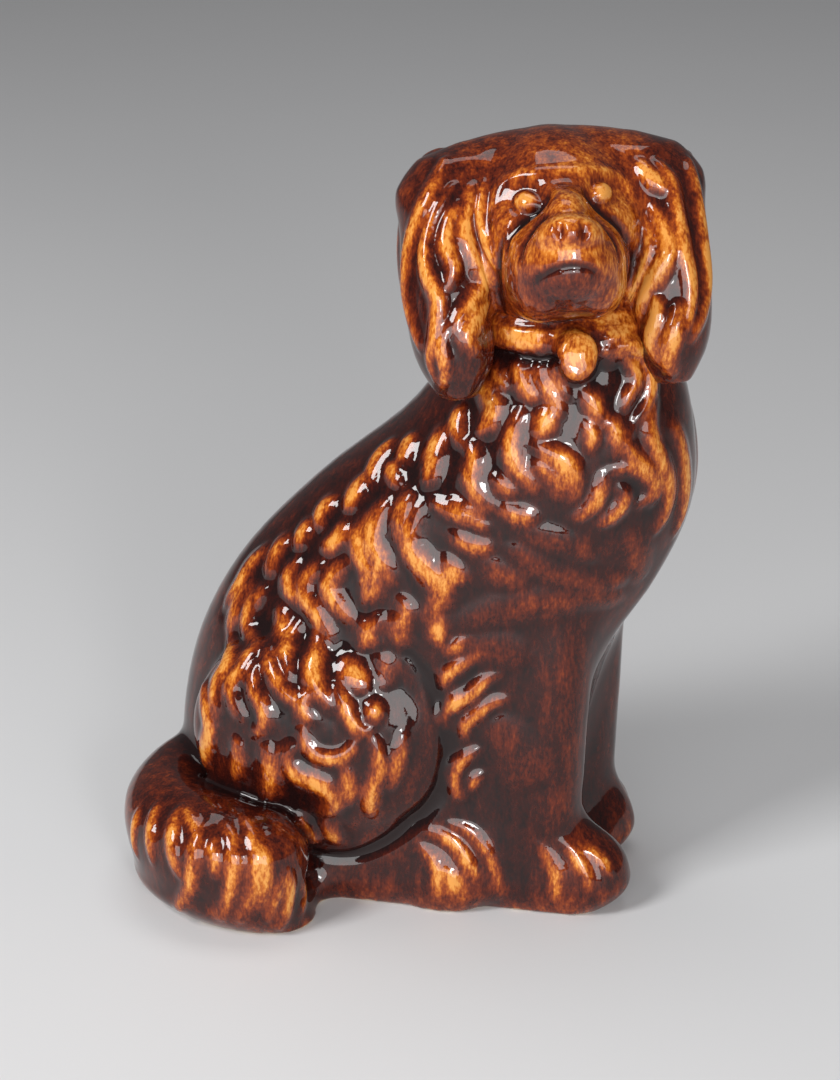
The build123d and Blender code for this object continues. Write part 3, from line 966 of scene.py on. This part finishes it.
def treacle_glaze():
    """Treacle glaze: amber where it is thin on the ridges, nearly black where it pools; on the face its
    depth also carries painted shade and a painted reflection.
    """
    glaze = Finish("treacle_glaze")
    where = glaze.node("ShaderNodeTexCoord", {}, {}, outlet=3)
    # glaze depth, holding the face's painted shade and painted reflection too
    pooled = glaze.node("ShaderNodeAttribute", {"attribute_name": "pooled"}, {}, outlet=2)
    runs = glaze.noise(where, (1.0, 1.0, 0.3), 300.0)
    clouds = glaze.noise(where, (1.0, 1.0, 0.6), 38.0, 3.0)
    flecks = glaze.noise(where, (1.0, 1.0, 0.45), 1100.0, 3.0, 0.6)
    mottle = (runs - 0.5) * 0.8 + (clouds - 0.5) * 0.5 + (flecks - 0.5) * 0.7
    depth = pooled + mottle * (1.2 - pooled)
    colour = glaze.node("ShaderNodeValToRGB", {"stops": treacle_shades}, {0: depth})
    axes = glaze.node("ShaderNodeSeparateXYZ", {}, {0: where}, outlet=2)
    rim = glaze.noise(where, (1.0, 1.0, 1.0), 120.0, 2.0)
    bare = 1 - glaze.fade(axes + (rim - 0.5) * 0.003, 0.0002, 0.0009)
    colour = glaze.mixed(bare, colour, (0.50, 0.36, 0.24, 1))
    ripple = glaze.noise(where, (1.0, 1.0, 0.7), 75.0, 2.0)
    pits = glaze.noise(where, (1.0, 1.0, 1.0), 420.0, 2.0)
    bump = glaze.node(
        "ShaderNodeBump", {}, {"Strength": 0.16, "Distance": 0.0012, "Height": ripple + pits * 0.12}
    )
    return glaze.dress(
        Base_Color=colour,
        Roughness=0.03 + bare * 0.7 + flecks * 0.02,
        IOR=1.48,
        Normal=bump,
    )


def bare_clay():
    clay = Finish("bare_clay")
    where = clay.node("ShaderNodeTexCoord", {}, {}, outlet=3)
    grain = clay.noise(where, (1.0, 1.0, 1.0), 700.0)
    patches = clay.noise(where, (1.0, 1.0, 1.0), 60.0)
    colour = clay.mixed(patches, (0.66, 0.52, 0.37, 1), (0.52, 0.40, 0.28, 1))
    bump = clay.node("ShaderNodeBump", {}, {"Strength": 0.3, "Distance": 0.0005, "Height": grain})
    return clay.dress(Base_Color=colour, Roughness=0.75 + grain * 0.15, Normal=bump)


def studio_floor():
    paper = Finish("studio_floor")
    where = paper.node("ShaderNodeTexCoord", {}, {}, outlet=3)
    tone = paper.noise(where, (1.0, 1.0, 1.0), 2.0)
    colour = paper.mixed(tone, (0.70, 0.70, 0.71, 1), (0.74, 0.74, 0.74, 1))
    return paper.dress(Base_Color=colour, Roughness=0.85)


def dressed_pieces(clay, nodes, passes, glaze):
    """Cuts the skin along the joints of the clay pieces and gives each its thickness and its glaze."""
    skin = clay.skin
    mesh = clay.mesh
    labels = node_of_faces(mesh, nodes)
    clay.pressed(passes)
    # the glaze depth stored here holds the face's painted shade and painted reflection too
    mesh.attributes.new("pooled", "FLOAT", "POINT").data.foreach_set("value", clay.pooled())
    facings = mesh.attributes.new("skin_normal", "FLOAT_VECTOR", "POINT")
    facings.data.foreach_set("vector", clay.normals.ravel())
    mesh.attributes.new("piece", "INT", "FACE").data.foreach_set("value", labels)
    for index, name in enumerate(nodes):
        bpy.ops.object.select_all(action="DESELECT")
        skin.select_set(True)
        bpy.context.view_layer.objects.active = skin
        picks = np.empty(len(skin.data.polygons), int)
        skin.data.attributes["piece"].data.foreach_get("value", picks)
        before = set(bpy.data.objects)
        if np.all(picks == index):
            piece = skin
        else:
            bpy.ops.object.mode_set(mode="EDIT")
            bpy.ops.mesh.select_mode(type="FACE")
            bpy.ops.mesh.select_all(action="DESELECT")
            bpy.ops.object.mode_set(mode="OBJECT")
            skin.data.polygons.foreach_set("select", picks == index)
            bpy.ops.object.mode_set(mode="EDIT")
            bpy.ops.mesh.separate(type="SELECTED")
            bpy.ops.object.mode_set(mode="OBJECT")
            piece = (set(bpy.data.objects) - before).pop()
        finish_piece(piece, name, glaze)


def finish_piece(piece, name, glaze):
    outer = len(piece.data.polygons)
    applied(piece, "SOLIDIFY", thickness=shell_thickness, offset=-1.0, use_rim=True)
    bpy.ops.object.shade_smooth()
    mesh = piece.data
    starts = np.empty(len(mesh.polygons), int)
    mesh.polygons.foreach_get("loop_start", starts)
    corners = np.empty(len(mesh.loops), int)
    mesh.loops.foreach_get("vertex_index", corners)
    normals = np.empty(len(mesh.vertices) * 3)
    mesh.attributes["skin_normal"].data.foreach_get("vector", normals)
    kept = np.zeros((len(corners), 3))
    on_skin = starts[outer] if outer < len(starts) else len(corners)
    kept[:on_skin] = normals.reshape(-1, 3)[corners[:on_skin]]
    mesh.normals_split_custom_set(kept.tolist())
    mesh.attributes.remove(mesh.attributes["skin_normal"])
    mesh.attributes.remove(mesh.attributes["piece"])
    mesh.materials.clear()
    mesh.materials.append(glaze)
    piece.name = "glazed_" + name
    mesh.name = piece.name
    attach(piece, "root")
    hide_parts(name)


bpy.ops.object.select_all(action="DESELECT")
body = ClaySkin(body_skin())
body.filleted(body_fillet, np.ones(len(body.places)))
body.filleted(shoulder_fillet, shoulder_share(body.places / mm))
body.filleted(foot_fillet, foot_share(body.places / mm), foot_hold)
body.tucked()
body.ready()
for locks in (chest_locks, flank_locks, haunch_locks, belly_locks):
    body.traced(locks, far_side)
body.traced(chest_ripples, far_side, spread=1.3, rise=1.6, tone=0.35)
body.traced(paw_locks, far_side, spread=1.1, rise=1.1)
body.traced(tail_locks, spread=1.1, rise=1.1)
body.traced(collar_creases, spread=0.6, rise=1)
body.traced(haunch_creases, far_side, spread=0.5, rise=1, tone=0.3)
for swell in locket_swells:
    body.swell(*swell)
for tone in collar_tones + paw_tones:
    body.tint(*tone)

head = ClaySkin(head_skin())
head.filleted(head_fillet, np.ones(len(head.places)))
head.ready()
head.traced(right_ear_locks, behind_ear(-1), spread=0.8, rise=1.4)
head.traced(left_ear_locks, behind_ear(1), spread=0.8, rise=1.4)
head.traced(brow_locks, spread=0.8, rise=1, tone=0.45)
head.traced(face_creases, spread=0.7, rise=1)
for swell in face_swells:
    head.swell(*swell)
# darkens the nostrils, paints shade on the lower muzzle and chin, and paints a reflection under the nose
for tone in face_tones_and_painted_light:
    head.tint(*tone)

glaze = treacle_glaze()
dressed_pieces(body, body_nodes, passes=2, glaze=glaze)
dressed_pieces(head, head_nodes, passes=4, glaze=glaze)

seam_roll = frame["nodes"]["seam_roll"]
seam_roll.data.materials.clear()
seam_roll.data.materials.append(bare_clay())

# Floor, light and camera
bpy.ops.object.select_all(action="DESELECT")
bpy.ops.mesh.primitive_plane_add(size=9)
floor = bpy.context.object
floor.name = "floor"
floor.data.materials.append(studio_floor())


def soft_lamp(name, place, width, height, power):
    bpy.ops.object.light_add(type="AREA", location=place)
    lamp = bpy.context.object
    lamp.name = name
    lamp.data.shape = "RECTANGLE"
    lamp.data.size = width
    lamp.data.size_y = height
    lamp.data.energy = power
    lamp.rotation_euler = (Vector(figure_middle) - Vector(place)).to_track_quat("-Z", "Y").to_euler()


for name, settings in lamps.items():
    soft_lamp(name, *settings)

world = bpy.data.worlds.new("soft_room")
bpy.context.scene.world = world
world.use_nodes = True
world.node_tree.nodes["Background"].inputs["Color"].default_value = room_colour
world.node_tree.nodes["Background"].inputs["Strength"].default_value = room_strength

bpy.ops.object.camera_add(
    location=camera_place, rotation=(math.radians(90) - camera_tilt, 0, camera_turn)
)
camera = bpy.context.object
camera.data.sensor_width = 36
camera.data.lens = photo_focal / photo_height * camera.data.sensor_width
bpy.context.scene.camera = camera
bpy.context.scene.view_settings.view_transform = "Standard"
